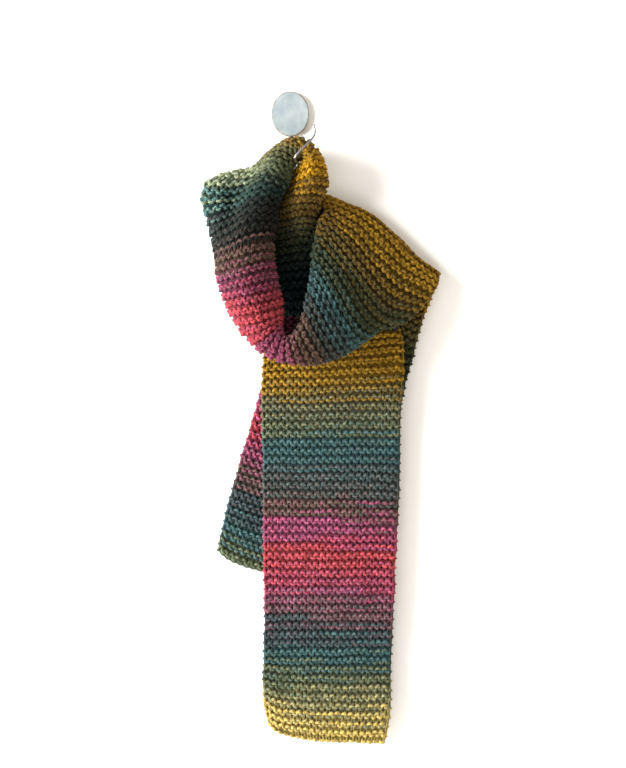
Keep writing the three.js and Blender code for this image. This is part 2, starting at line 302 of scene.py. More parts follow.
FRONT_TAIL_DYES = [
    (0, "mustard"), (0.13, "mustard"), (0.16, "olive"), (0.2, "lichen"), (0.245, "moss"),
    (0.275, "teal"), (0.32, "teal"), (0.345, "slate"), (0.4, "slate"), (0.42, "taupe"),
    (0.45, "taupe"), (0.465, "magenta"), (0.505, "magenta"), (0.52, "red"), (0.54, "coral"),
    (0.575, "coral"), (0.6, "rose"), (0.628, "rose"), (0.64, "orchid"), (0.66, "mauve"),
    (0.7, "mauve"), (0.72, "charcoal"), (0.76, "charcoal"), (0.78, "teal"), (0.81, "teal"),
    (0.835, "moss"), (0.87, "moss"), (0.89, "straw"), (0.93, "straw"), (0.95, "gold"), (1, "gold"),
]

# Creases and soft swells pressed into the cloth. Place along and across as shares,
# reach along and across in millimetres, height, and how far the crease is turned in degrees.
BACK_TAIL_CREASES = [
    (0.08, 0.25, 22, 60, 1.0, 12), (0.17, 0.8, 16, 50, -1.0, -8), (0.3, 0.3, 26, 45, 0.9, 20),
    (0.42, 0.75, 20, 70, -0.8, -14), (0.56, 0.4, 24, 60, 0.8, 8), (0.72, 0.7, 20, 50, -0.7, 15),
]
RIGHT_DRAPE_CREASES = [
    (0.42, 0.45, 12, 60, 1.2, 6), (0.55, 0.62, 8, 55, -1.6, -10), (0.68, 0.5, 10, 60, 1.2, 8),
    (0.8, 0.72, 8, 40, -1.2, 14), (0.35, 0.85, 10, 30, 0.8, -12),
]
LOOP_BOTTOM_CREASES = [
    (0.2, 0.3, 6, 24, -1.2, 10), (0.45, 0.18, 5, 20, 1.0, -8), (0.6, 0.5, 7, 30, 1.2, 12),
    (0.85, 0.4, 6, 26, -1.2, -10),
]
LEFT_DRAPE_CREASES = [
    (0.12, 0.45, 7, 30, 1.0, 8), (0.26, 0.4, 7, 34, -1.2, -6), (0.4, 0.5, 9, 36, 1.2, 5),
    (0.52, 0.35, 7, 30, -1.0, 12), (0.74, 0.56, 32, 12, -7, 6), (0.8, 0.72, 24, 14, 4, -8),
    (0.56, 0.38, 36, 13, 2.6, -4), (0.6, 0.2, 34, 11, -3.4, 5),
]
HOOK_GATHER_CREASES = [
    (0.3, 0.34, 22, 5, 1.6, 6), (0.4, 0.5, 24, 5, -1.6, -4), (0.6, 0.62, 20, 6, 1.4, 8),
    (0.75, 0.42, 20, 5, -1.0, -6),
]
INNER_STRAND_CREASES = [
    (0.12, 0.34, 22, 5, -1.4, 6), (0.2, 0.5, 26, 6, 1.4, -5), (0.34, 0.42, 20, 6, -1.2, 10),
    (0.6, 0.5, 16, 30, 1.0, 10), (0.82, 0.35, 12, 36, -0.8, -8),
]
FRONT_TAIL_CREASES = [
    (0.1, 0.7, 16, 40, 1.6, 14), (0.16, 0.3, 12, 44, -1.2, -6), (0.27, 0.8, 22, 24, 1.3, 10),
    (0.36, 0.2, 20, 26, 1.2, -12), (0.47, 0.6, 18, 50, -1.0, 6), (0.6, 0.88, 26, 16, 1.4, 4),
    (0.66, 0.12, 24, 16, 1.2, -6), (0.78, 0.5, 20, 55, 1.0, -5), (0.9, 0.25, 14, 34, -1.0, 9),
    (0.93, 0.8, 14, 30, 1.1, -9),
]

# The strip's two free ends: -1 where a stretch starts with one, 1 where it finishes with one
FREE_ENDS = {"back_tail": -1, "front_tail": 1}

# Stitches are counted across the strip, and held and rests_on say how each stretch is carried
Stretch = namedtuple("Stretch", "name rows dyes creases stitches held rests_on seed")
STRETCHES = [
    Stretch(
        "back_tail", BACK_TAIL, BACK_TAIL_DYES, BACK_TAIL_CREASES,
        stitches=20, held="hung", rests_on=["right_drape_core"], seed=3,
    ),
    Stretch(
        "right_drape", RIGHT_DRAPE, RIGHT_DRAPE_DYES, RIGHT_DRAPE_CREASES,
        stitches=20, held="folded", rests_on=["loop_bottom_core"], seed=7,
    ),
    Stretch(
        "loop_bottom", LOOP_BOTTOM, LOOP_BOTTOM_DYES, LOOP_BOTTOM_CREASES,
        stitches=18, held="draped", rests_on=["left_drape_core"], seed=11,
    ),
    Stretch(
        "left_drape", LEFT_DRAPE, LEFT_DRAPE_DYES, LEFT_DRAPE_CREASES,
        stitches=20, held="folded", rests_on=["hook_gather_core"], seed=19,
    ),
    Stretch(
        "hook_gather", HOOK_GATHER, HOOK_GATHER_DYES, HOOK_GATHER_CREASES,
        stitches=15, held="gathered", rests_on=["wire_hook"], seed=23,
    ),
    Stretch(
        "inner_strand", INNER_STRAND, INNER_STRAND_DYES, INNER_STRAND_CREASES,
        stitches=17, held="hung", rests_on=["hook_gather_core"], seed=31,
    ),
    Stretch(
        "front_tail", FRONT_TAIL, FRONT_TAIL_DYES, FRONT_TAIL_CREASES,
        stitches=20, held="hung", rests_on=["inner_strand_core"], seed=43,
    ),
]


# The surface of the strip


def smooth_curve(points, places):
    """Centripetal curves through points[0], points[1] and so on, at places along them."""
    before = 2 * points[:1] - points[1:2]
    after = 2 * points[-1:] - points[-2:-1]
    padded = np.concatenate([before, points, after])
    index = np.clip(np.floor(places).astype(int), 0, len(points) - 2)
    weight = (places - index).reshape((-1,) + (1,) * (points.ndim - 1))
    p0, p1, p2, p3 = (padded[index + step] for step in range(4))
    d0 = np.sqrt(np.linalg.norm(p1 - p0, axis=-1, keepdims=True))
    d1 = np.sqrt(np.linalg.norm(p2 - p1, axis=-1, keepdims=True))
    d2 = np.sqrt(np.linalg.norm(p3 - p2, axis=-1, keepdims=True))
    leave = ((p1 - p0) / d0 - (p2 - p0) / (d0 + d1) + (p2 - p1) / d1) * d1
    reach = ((p2 - p1) / d1 - (p3 - p1) / (d1 + d2) + (p3 - p2) / d2) * d1
    bend = 3 * (p2 - p1) - 2 * leave - reach
    twist = 2 * (p1 - p2) + leave + reach
    return p1 + weight * (leave + weight * (bend + weight * twist))


def evenly_spaced(points, count):
    """A smooth curve through the points, as points that lie equally far apart along it."""
    places = np.linspace(0, len(points) - 1, SPACING_STEPS * (len(points) - 1) + 1)
    fine = smooth_curve(points, places)
    steps = np.linalg.norm(np.diff(fine, axis=0), axis=1)
    run = np.concatenate([[0], np.cumsum(steps)])
    wanted = np.linspace(0, run[-1], count)
    return smooth_curve(points, np.interp(wanted, run, places))


def strip_table():
    """All rows of the table as evenly spaced points, in metres, with y into the wall."""
    rows = []
    for stretch in STRETCHES:
        for row in stretch.rows:
            points = np.array(row, dtype=float) * (MM, -MM, MM)
            rows.append(evenly_spaced(points, POINTS_ACROSS))
    return np.array(rows)


def row_leads():
    """The lead of each table row, nought where the knitting doesn't fan."""
    return np.concatenate(
        [LEADS.get(stretch.name, np.zeros(len(stretch.rows))) for stretch in STRETCHES]
    )


def fanned(table, leads, places):
    """The sections at places along the table, each with its hem side ahead by its lead."""
    side = np.clip((np.linspace(0, 1, POINTS_ACROSS) - LEAD_FROM) / (LEAD_FULL - LEAD_FROM), 0, 1)
    side = side * side * (3 - 2 * side)
    lead = np.interp(places, np.arange(len(table)), leads)
    ahead = places[:, None] + lead[:, None] * side
    lines = [smooth_curve(table[:, line], ahead[:, line]) for line in range(POINTS_ACROSS)]
    return np.stack(lines, axis=1)


def run_along(table, leads):
    """Places along the table, and how far down the strip each one lies on average."""
    places = np.linspace(0, len(table) - 1, LENGTH_STEPS * (len(table) - 1) + 1)
    sections = fanned(table, leads, places)
    steps = np.linalg.norm(np.diff(sections, axis=0), axis=2).mean(axis=1)
    return places, np.concatenate([[0], np.cumsum(steps)])


def sections_at(table, leads, places, run, wanted):
    """The strip's sections at the wanted distances, run on straight past its two ends."""
    inside = np.clip(wanted, 0, run[-1])
    sections = fanned(table, leads, np.interp(inside, run, places))
    head = direction(table[0], table[1])
    tail = direction(table[-2], table[-1])
    over = (wanted - inside)[:, None, None]
    return sections + np.where(over < 0, head, tail) * over


def direction(first, second):
    """The way from each first point to its second one, one unit long."""
    step = second - first
    return step / np.linalg.norm(step, axis=1, keepdims=True)


def square_to(sections):
    """The direction square to the cloth at each point."""
    along = np.gradient(sections, axis=0)
    across = np.gradient(sections, axis=1)
    square = np.cross(across, along)
    return square / np.linalg.norm(square, axis=2, keepdims=True)


def creased(sections, along, across, creases, length, width):
    """The sections with the creases pressed in, each fading out over its own reach."""
    height = np.zeros(sections.shape[:2])
    for place, side, reach_along, reach_across, rise, turn in creases:
        down = (along[:, None] - place) * length / MM
        over = (across[None, :] - side) * width / MM
        angle = math.radians(turn)
        first = down * math.cos(angle) + over * math.sin(angle)
        second = over * math.cos(angle) - down * math.sin(angle)
        height += rise * np.exp(-((first / reach_along) ** 2) - (second / reach_across) ** 2)
    fade = np.clip(np.minimum(along, 1 - along) * length / (CREASE_FADE * MM), 0, 1)
    return sections + square_to(sections) * (height * fade[:, None] * MM)[:, :, None]


# Meshes


def add_object(name, mesh):
    piece = bpy.data.objects.new(name, mesh)
    bpy.context.scene.collection.objects.link(piece)
    return piece


def smooth_mesh(name, points, faces, share, strip):
    """A smooth mesh that keeps each point's share along its stretch and its place on the strip."""
    mesh = bpy.data.meshes.new(name)
    mesh.from_pydata(points.tolist(), [], faces)
    mesh.shade_smooth()
    mesh.attributes.new("share", "FLOAT", "POINT").data.foreach_set("value", share)
    corners = np.zeros(len(mesh.loops), dtype=np.int32)
    mesh.loops.foreach_get("vertex_index", corners)
    layer = mesh.uv_layers.new(name="strip")
    layer.uv.foreach_set("vector", strip[corners].ravel())
    return mesh


def grid_faces(rows, columns, offset=0):
    faces = []
    for row in range(rows - 1):
        for column in range(columns - 1):
            first = offset + row * columns + column
            faces.append((first, first + 1, first + columns + 1, first + columns))
    return faces


def strip_places(count):
    """The place of every point of a sheet with so many sections: across it and down it."""
    across = np.linspace(0, 1, POINTS_ACROSS)
    down = np.linspace(0, 1, count)
    return np.stack(np.meshgrid(across, down), axis=2).reshape(-1, 2)


def middle_sheet(name, sections, rows):
    """The cloth's middle surface, with a spare row at each end, for the yarn to be knitted on."""
    strip = strip_places(len(sections))
    share = (strip[:, 1] * (rows + 2 * SPARE_ROWS) - SPARE_ROWS) / rows
    faces = grid_faces(len(sections), POINTS_ACROSS)
    mesh = smooth_mesh(name, sections.reshape(-1, 3), faces, share, strip)
    square = mesh.attributes.new("square", "FLOAT_VECTOR", "POINT")
    square.data.foreach_set("vector", square_to(sections).ravel())
    return add_object(name, mesh)


def pulled_in(sections):
    """The sections with both ends and both selvedges drawn in a little."""
    inner = sections.copy()
    inner[0] += direction(sections[0], sections[1]) * SEAM_GAP / 2 * MM
    inner[-1] += direction(sections[-1], sections[-2]) * SEAM_GAP / 2 * MM
    inner[:, 0] += direction(sections[:, 0], sections[:, 1]) * CORE_INSET * MM
    inner[:, -1] += direction(sections[:, -1], sections[:, -2]) * CORE_INSET * MM
    return inner


def core_sheet(name, sections, material):
    """A thin closed sheet along the middle of the cloth, which the yarn's loops go through."""
    inner = pulled_in(sections)
    square = square_to(sections) * CORE_THICK / 2 * MM
    rows, columns = inner.shape[:2]
    points = np.concatenate([(inner + square).reshape(-1, 3), (inner - square).reshape(-1, 3)])
    under = rows * columns
    faces = grid_faces(rows, columns)
    faces += [tuple(reversed(face)) for face in grid_faces(rows, columns, under)]
    for row in range(rows - 1):
        rim = row * columns
        hem = rim + columns - 1
        faces.append((rim, rim + columns, rim + columns + under, rim + under))
        faces.append((hem, hem + under, hem + columns + under, hem + columns))
    last = (rows - 1) * columns
    for column in range(columns - 1):
        end = last + column
        faces.append((column, column + under, column + 1 + under, column + 1))
        faces.append((end, end + 1, end + 1 + under, end + under))
    strip = strip_places(rows)
    strip = np.concatenate([strip, strip])
    mesh = smooth_mesh(name, points, faces, strip[:, 1], strip)
    mesh.materials.append(material)
    return add_object(name, mesh)


# The tree that knits


def add_node(tree, kind, **settings):
    node = tree.nodes.new(kind)
    for name, value in settings.items():
        setattr(node, name, value)
    return node


def feed(tree, value, socket):
    """Links a socket's value in, or sets it where it is a plain number or colour."""
    if isinstance(value, bpy.types.NodeSocket):
        tree.links.new(value, socket)
    else:
        socket.default_value = value


def maths(tree, operation, first, second=0.0):
    node = add_node(tree, "ShaderNodeMath", operation=operation)
    feed(tree, first, node.inputs[0])
    feed(tree, second, node.inputs[1])
    return node.outputs[0]


def vector_maths(tree, operation, first, second):
    node = add_node(tree, "ShaderNodeVectorMath", operation=operation)
    feed(tree, first, node.inputs[0])
    feed(tree, second, node.inputs["Scale" if operation == "SCALE" else 1])
    return node.outputs[0]


def vector_of(tree, x, y, z=0.0):
    node = add_node(tree, "ShaderNodeCombineXYZ")
    for value, socket in zip((x, y, z), node.inputs):
        feed(tree, value, socket)
    return node.outputs[0]


def uneven(tree, where, scale, seed, detail=1.0):
    """Smooth noise round nought, as a vector and as a number."""
    noise = add_node(tree, "ShaderNodeTexNoise", noise_dimensions="4D")
    feed(tree, where, noise.inputs["Vector"])
    feed(tree, seed, noise.inputs["W"])
    feed(tree, scale, noise.inputs["Scale"])
    feed(tree, detail, noise.inputs["Detail"])
    vector = vector_maths(tree, "SUBTRACT", noise.outputs["Color"], (0.5, 0.5, 0.5))
    number = maths(tree, "SUBTRACT", noise.outputs["Fac"], 0.5)
    return vector, number


def sampled(tree, sheet, field, place):
    node = add_node(tree, "GeometryNodeSampleUVSurface", data_type="FLOAT_VECTOR")
    strip = add_node(tree, "GeometryNodeInputNamedAttribute", data_type="FLOAT_VECTOR")
    strip.inputs["Name"].default_value = "strip"
    feed(tree, sheet, node.inputs["Mesh"])
    feed(tree, field, node.inputs["Value"])
    feed(tree, strip.outputs["Attribute"], node.inputs["Source UV Map"])
    feed(tree, place, node.inputs["Sample UV"])
    return node.outputs["Value"]


def kept(tree, geometry, name, kind, value):
    """Keeps a value on the geometry's points under a name that the material reads."""
    node = add_node(tree, "GeometryNodeStoreNamedAttribute", data_type=kind, domain="POINT")
    node.inputs["Name"].default_value = name
    feed(tree, geometry, node.inputs["Geometry"])
    feed(tree, value, node.inputs["Value"])
    return node.outputs["Geometry"]


def tucked(tree, row, swing, given):
    """How tall each loop is, less on the outer side of the row at a free end."""
    first = maths(tree, "LESS_THAN", maths(tree, "ADD", row, given["Free end"]), -0.5)
    first = maths(tree, "MULTIPLY", first, maths(tree, "GREATER_THAN", swing, 0.0))
    left = maths(tree, "SUBTRACT", given["Rows"], row)
    last = maths(tree, "LESS_THAN", maths(tree, "SUBTRACT", left, given["Free end"]), 0.5)
    last = maths(tree, "MULTIPLY", last, maths(tree, "LESS_THAN", swing, 0.0))
    outer = maths(tree, "MULTIPLY", maths(tree, "ADD", first, last), END_TUCK)
    return maths(tree, "SUBTRACT", 1.0, outer)


def knitting_inputs(tree):
    """Gives the tree its named inputs and its output, and returns what comes in."""
    face = tree.interface
    face.new_socket("Sheet", in_out="INPUT", socket_type="NodeSocketGeometry")
    for name in ("Stitches", "Rows", "Free end", "Seed"):
        face.new_socket(name, in_out="INPUT", socket_type="NodeSocketInt")
    for name in ("Yarn radius", "Loop depth", "Unevenness", "Slack"):
        face.new_socket(name, in_out="INPUT", socket_type="NodeSocketFloat")
    face.new_socket("Wool", in_out="INPUT", socket_type="NodeSocketMaterial")
    face.new_socket("Yarn", in_out="OUTPUT", socket_type="NodeSocketGeometry")
    return add_node(tree, "NodeGroupInput").outputs


def row_and_stitch(tree, index, row_steps):
    """The row that each step of the yarn is in, and how many stitches into that row it lies."""
    row = maths(tree, "FLOOR", maths(tree, "DIVIDE", maths(tree, "ADD", index, 0.5), row_steps))
    step = maths(tree, "SUBTRACT", index, maths(tree, "MULTIPLY", row, row_steps))
    return row, maths(tree, "DIVIDE", step, float(STEPS_A_STITCH))


def place_across(tree, stitch, double, odd, given):
    """How far across the sheet each step lies, as every second row runs back."""
    waist = maths(tree, "MULTIPLY", maths(tree, "SINE", double), LOOP_WAIST)
    over = maths(tree, "DIVIDE", maths(tree, "ADD", stitch, waist), given["Stitches"])
    back = maths(tree, "SUBTRACT", 1.0, over)
    turned = maths(tree, "MULTIPLY", maths(tree, "SUBTRACT", back, over), odd)
    across = maths(tree, "MULTIPLY", maths(tree, "ADD", over, turned), 1 - 2 * EDGE_MARGIN)
    return maths(tree, "ADD", across, EDGE_MARGIN)


def place_down(tree, row, swing, given):
    """How far down the sheet each step lies, as its loop reaches into the rows beside it."""
    rise = maths(tree, "MULTIPLY", swing, LOOP_RISE)
    rise = maths(tree, "MULTIPLY", rise, tucked(tree, row, swing, given))
    along = maths(tree, "SUBTRACT", maths(tree, "ADD", row, SPARE_ROWS + 0.5), rise)
    return maths(tree, "DIVIDE", along, maths(tree, "ADD", given["Rows"], 2.0 * SPARE_ROWS))


def lifted(tree, swing, double, odd, given):
    """How far off the sheet each step stands, on one side in even rows, the other in odd ones."""
    bulge = maths(tree, "MULTIPLY", maths(tree, "COSINE", double), LOOP_SQUARENESS * MM)
    lift = maths(tree, "ADD", maths(tree, "MULTIPLY", swing, given["Loop depth"]), bulge)
    facing = maths(tree, "SUBTRACT", maths(tree, "MULTIPLY", odd, 2.0), 1.0)
    return maths(tree, "MULTIPLY", lift, facing)


def wandering(tree, at, given):
    """The unevenness of single loops and the wider slack of the knitting."""
    loops, _ = uneven(tree, at, UNEVENNESS_SCALE, given["Seed"], 2.0)
    loops = vector_maths(tree, "SCALE", loops, maths(tree, "MULTIPLY", given["Unevenness"], 2.0))
    slack, _ = uneven(tree, at, SLACK_SCALE, given["Seed"])
    slack = vector_maths(tree, "SCALE", slack, maths(tree, "MULTIPLY", given["Slack"], 2.0))
    return vector_maths(tree, "ADD", loops, slack)


def yarn_spot(tree, place, lift, given):
    """Where each step of the yarn lies in the room."""
    square = add_node(tree, "GeometryNodeInputNamedAttribute", data_type="FLOAT_VECTOR")
    square.inputs["Name"].default_value = "square"
    position = add_node(tree, "GeometryNodeInputPosition").outputs[0]
    at = sampled(tree, given["Sheet"], position, place)
    out = sampled(tree, given["Sheet"], square.outputs["Attribute"], place)
    spot = vector_maths(tree, "ADD", at, vector_maths(tree, "SCALE", out, lift))
    return vector_maths(tree, "ADD", spot, wandering(tree, at, given))


def strand_of(tree, line, spot, marks):
    """The line moved to its spots as a curve, with the marks that the materials read."""
    for name, value in marks.items():
        line = kept(tree, line, name, "FLOAT", value)
    moved = add_node(tree, "GeometryNodeSetPosition")
    feed(tree, line, moved.inputs["Geometry"])
    feed(tree, spot, moved.inputs["Position"])
    strand = add_node(tree, "GeometryNodeMeshToCurve")
    feed(tree, moved.outputs["Geometry"], strand.inputs["Mesh"])
    return strand.outputs["Curve"]


def yarn_section(tree, given):
    """The yarn's round section, marked with the way round it for the twist of the fibres."""
    ring = add_node(tree, "GeometryNodeCurvePrimitiveCircle")
    ring.inputs["Resolution"].default_value = YARN_SIDES
    feed(tree, given["Yarn radius"], ring.inputs["Radius"])
    position = add_node(tree, "GeometryNodeInputPosition").outputs[0]
    way = vector_maths(tree, "NORMALIZE", position, (0.0, 0.0, 0.0))
    return kept(tree, ring.outputs["Curve"], "round", "FLOAT_VECTOR", way)


def yarn_thickness(tree, index, double, given):
    """The yarn's thick and thin places, with a swell in each loop."""
    pace = vector_of(tree, maths(tree, "MULTIPLY", index, SPINNING_PACE), 0.0)
    _, thick = uneven(tree, pace, 1.0, given["Seed"], 3.0)
    puff = maths(tree, "MULTIPLY", maths(tree, "COSINE", double), LOOP_PUFF)
    thick = maths(tree, "ADD", maths(tree, "MULTIPLY", thick, 2 * THICK_AND_THIN), puff)
    return maths(tree, "ADD", thick, 1.0)


def yarn_body(tree, strand, section, thick, wool):
    """The section drawn along the strand, smooth and made of wool."""
    body = add_node(tree, "GeometryNodeCurveToMesh")
    feed(tree, strand, body.inputs["Curve"])
    feed(tree, section, body.inputs["Profile Curve"])
    feed(tree, thick, body.inputs["Scale"])
    body.inputs["Fill Caps"].default_value = True
    smooth = add_node(tree, "GeometryNodeSetShadeSmooth")
    feed(tree, body.outputs["Mesh"], smooth.inputs["Geometry"])
    real = add_node(tree, "GeometryNodeRealizeInstances")
    feed(tree, smooth.outputs["Geometry"], real.inputs["Geometry"])
    dyed = add_node(tree, "GeometryNodeSetMaterial")
    feed(tree, real.outputs["Geometry"], dyed.inputs["Geometry"])
    feed(tree, wool, dyed.inputs["Material"])
    return dyed.outputs["Geometry"]


def knitting_tree():
    """Garter stitch over a sheet: one yarn that runs to and fro, a row of loops at a time."""
    tree = bpy.data.node_groups.new("garter_stitch", "GeometryNodeTree")
    given = knitting_inputs(tree)
    row_steps = maths(tree, "MULTIPLY", given["Stitches"], float(STEPS_A_STITCH))
    line = add_node(tree, "GeometryNodeMeshLine")
    feed(tree, maths(tree, "MULTIPLY", row_steps, given["Rows"]), line.inputs["Count"])
    index = add_node(tree, "GeometryNodeInputIndex").outputs[0]
    row, stitch = row_and_stitch(tree, index, row_steps)
    odd = maths(tree, "MODULO", row, 2.0)
    angle = maths(tree, "MULTIPLY", stitch, 2 * math.pi)
    double = maths(tree, "MULTIPLY", angle, 2.0)
    swing = maths(tree, "COSINE", angle)
    across = place_across(tree, stitch, double, odd, given)
    place = vector_of(tree, across, place_down(tree, row, swing, given))
    spot = yarn_spot(tree, place, lifted(tree, swing, double, odd, given), given)
    in_row = maths(tree, "DIVIDE", stitch, given["Stitches"])
    marks = {
        "over": across,
        "crown": maths(tree, "ABSOLUTE", swing),
        "share": maths(tree, "DIVIDE", maths(tree, "ADD", row, in_row), given["Rows"]),
        "run": maths(tree, "DIVIDE", index, float(STEPS_A_STITCH)),
    }
    strand = strand_of(tree, line.outputs["Mesh"], spot, marks)
    thick = yarn_thickness(tree, index, double, given)
    yarn = yarn_body(tree, strand, yarn_section(tree, given), thick, given["Wool"])
    feed(tree, yarn, add_node(tree, "NodeGroupOutput").inputs["Yarn"])
    return tree


def knitted(name, sheet, tree, sizes):
    """Runs the tree over the sheet, and keeps the result as a plain mesh."""
    named = {
        item.name: item.identifier
        for item in tree.interface.items_tree
        if item.in_out == "INPUT"
    }
    modifier = sheet.modifiers.new("knitting", "NODES")
    modifier.node_group = tree
    for label, value in sizes.items():
        modifier[named[label]] = value
    depsgraph = bpy.context.evaluated_depsgraph_get()
    result = bpy.data.meshes.new_from_object(
        sheet.evaluated_get(depsgraph), preserve_all_data_layers=True, depsgraph=depsgraph
    )
    result.name = name
    bpy.data.objects.remove(sheet)
    return add_object(name, result)


# Materials


def linear(colour):
    """A colour as seen, from 0 to 255, as the shader's own values."""
    values = [value / 255 for value in colour]
    return [
        value / 12.92 if value <= 0.04045 else ((value + 0.055) / 1.055) ** 2.4
        for value in values
    ]


def new_material(name):
    material = bpy.data.materials.new(name)
    material.use_nodes = True
    tree = material.node_tree
    return material, tree, tree.nodes["Principled BSDF"].inputs


def attribute(tree, name, output):
    node = add_node(tree, "ShaderNodeAttribute", attribute_name=name)
    return node.outputs[output]


def dye_ramp(tree, place, dyes):
    ramp = add_node(tree, "ShaderNodeValToRGB")
    elements = ramp.color_ramp.elements
    while len(elements) > 1:
        elements.remove(elements[-1])
    for number, (share, dye) in enumerate(dyes):
        element = elements[0] if number == 0 else elements.new(share)
        element.position = share
        element.color = (*(value * DYE_DEPTH for value in linear(DYES[dye])), 1)
    feed(tree, place, ramp.inputs["Fac"])
    return ramp.outputs["Color"]


def texture(tree, where, scale, detail=3.0, roughness=0.55):
    noise = add_node(tree, "ShaderNodeTexNoise")
    feed(tree, where, noise.inputs["Vector"])
    noise.inputs["Scale"].default_value = scale
    noise.inputs["Detail"].default_value = detail
    noise.inputs["Roughness"].default_value = roughness
    return noise.outputs["Fac"]


def spread(tree, value, low, high):
    """A value from the middle of a noise, spread out to run from low to high."""
    node = add_node(tree, "ShaderNodeMapRange")
    feed(tree, value, node.inputs["Value"])
    node.inputs["From Min"].default_value = NOISE_LOW
    node.inputs["From Max"].default_value = NOISE_HIGH
    node.inputs["To Min"].default_value = low
    node.inputs["To Max"].default_value = high
    return node.outputs["Result"]


def eased(tree, value, low, high):
    """Nought below low, one above high, with a soft change between them."""
    node = add_node(tree, "ShaderNodeMapRange", interpolation_type="SMOOTHSTEP")
    feed(tree, value, node.inputs["Value"])
    node.inputs["From Min"].default_value = low
    node.inputs["From Max"].default_value = high
    return node.outputs["Result"]


def mixed(tree, blend, amount, first, second):
    node = add_node(tree, "ShaderNodeMix", data_type="RGBA", blend_type=blend)
    feed(tree, amount, node.inputs["Factor"])
    feed(tree, first, node.inputs["A"])
    feed(tree, second, node.inputs["B"])
    return node.outputs["Result"]


def grey(tree, value):
    node = add_node(tree, "ShaderNodeCombineColor")
    for socket in node.inputs:
        feed(tree, value, socket)
    return node.outputs["Color"]


def toned(tree, colour, value):
    """The colour made darker or lighter, by so many times."""
    return mixed(tree, "MULTIPLY", 1.0, colour, grey(tree, value))


def object_place(tree):
    return add_node(tree, "ShaderNodeTexCoord").outputs["Object"]


def bumped(tree, shader, height, distance, strength):
    bump = add_node(tree, "ShaderNodeBump")
    bump.inputs["Distance"].default_value = distance
    bump.inputs["Strength"].default_value = strength
    feed(tree, height, bump.inputs["Height"])
    feed(tree, bump.outputs["Normal"], shader["Normal"])


def woollen(shader):
    shader["Roughness"].default_value = 0.95
    shader["Specular IOR Level"].default_value = 0.08
    shader["Sheen Weight"].default_value = 0.04
    shader["Sheen Roughness"].default_value = 0.45


def fold_painted_light(tree, colour, share):
    """The fold that stands out at the upper left, made paler as painted light where daylight falls on it.
    """
    side = maths(tree, "MULTIPLY", share, FOLD_LIGHT_SLANT)
    side = maths(tree, "ADD", side, attribute(tree, "over", "Fac"))
    side = eased(tree, side, *FOLD_LIGHT_ACROSS)
    place = eased(tree, share, *FOLD_LIGHT_ALONG)
    pale = mixed(tree, "MULTIPLY", 1.0, colour, (*FOLD_LIGHT, 1))
    return mixed(tree, "MIX", maths(tree, "MULTIPLY", side, place), colour, pale)


def inner_painted_shade(tree, colour, share):
    """The inner half of the same stretch, darkened as painted shade where it turns to the neck opening."""
    outer = eased(tree, attribute(tree, "over", "Fac"), *INNER_SHADE_ACROSS)
    inner = maths(tree, "SUBTRACT", 1.0, outer)
    begun = eased(tree, share, *INNER_SHADE_FROM)
    ended = eased(tree, share, *INNER_SHADE_TO)
    place = maths(tree, "SUBTRACT", begun, ended)
    # Painted shade: the colour darkened by half
    deep = mixed(tree, "MULTIPLY", 1.0, colour, (*INNER_SHADE, 1))
    return mixed(tree, "MIX", maths(tree, "MULTIPLY", inner, place), colour, deep)


def fibre_pattern(tree, run):
    """The fibres' slack twist: a pattern that turns about the yarn as it runs."""
    turn = add_node(tree, "ShaderNodeVectorRotate", rotation_type="Z_AXIS")
    feed(tree, attribute(tree, "round", "Vector"), turn.inputs["Vector"])
    feed(tree, maths(tree, "MULTIPLY", run, FIBRE_TURN), turn.inputs["Angle"])
    drawn = vector_of(tree, 0.0, 0.0, maths(tree, "MULTIPLY", run, FIBRE_DRAW))
    place = vector_maths(tree, "ADD", turn.outputs["Vector"], drawn)
    return texture(tree, place, FIBRE_SCALE, 5.0, 0.65)


def drifted(tree, share, run, rows):
    """Each place's share along the dyes, with the changes coming a little early or late."""
    pace = vector_of(tree, maths(tree, "MULTIPLY", run, DRIFT_PACE), 0.3)
    drift = maths(tree, "SUBTRACT", texture(tree, pace, 1.0, 3.0, 0.6), 0.5)
    return maths(tree, "ADD", share, maths(tree, "MULTIPLY", drift, 2 * DYE_DRIFT / rows))


def with_strays(tree, share, where, rows, dyes):
    """The dyed wool, with stray fibres from the dyes before and after it."""
    strays = maths(tree, "SUBTRACT", texture(tree, where, STRAY_SCALE, 2.0), 0.5)
    strays = maths(tree, "MULTIPLY", strays, STRAY_REACH / rows)
    stray_colour = dye_ramp(tree, maths(tree, "ADD", share, strays), dyes)
    return mixed(tree, "MIX", STRAY_AMOUNT, dye_ramp(tree, share, dyes), stray_colour)


def yarn_wool(stretch, rows):
    """Loosely spun wool: long faded dye changes, flecks of other fibre and a slack twist."""
    material, tree, shader = new_material(f"{stretch.name}_wool")
    run = attribute(tree, "run", "Fac")
    where = object_place(tree)
    share = drifted(tree, attribute(tree, "share", "Fac"), run, rows)
    colour = with_strays(tree, share, where, rows, stretch.dyes)
    # Painted shade in the grooves between loops and painted light on their crowns
    crown = maths(tree, "MULTIPLY", attribute(tree, "crown", "Fac"), CROWN_PAINTED_LIGHT)
    colour = toned(tree, colour, maths(tree, "ADD", crown, GROOVE_PAINTED_SHADE))
    flecks = texture(tree, where, FLECK_SCALE, 3.0, 0.7)
    colour = toned(tree, colour, spread(tree, flecks, *FLECK_TONE))
    fibres = fibre_pattern(tree, run)
    colour = toned(tree, colour, spread(tree, fibres, *FIBRE_TONE))
    # Painted light on the left side's fold and painted shade on its inner half
    if stretch.name == "left_drape":
        colour = fold_painted_light(tree, colour, share)
        colour = inner_painted_shade(tree, colour, share)
    feed(tree, colour, shader["Base Color"])
    fuzz = texture(tree, where, FUZZ_SCALE, 3.0, 0.7)
    height = maths(tree, "ADD", fibres, maths(tree, "MULTIPLY", fuzz, FUZZ_AMOUNT))
    bumped(tree, shader, height, *YARN_RELIEF)
    woollen(shader)
    return material


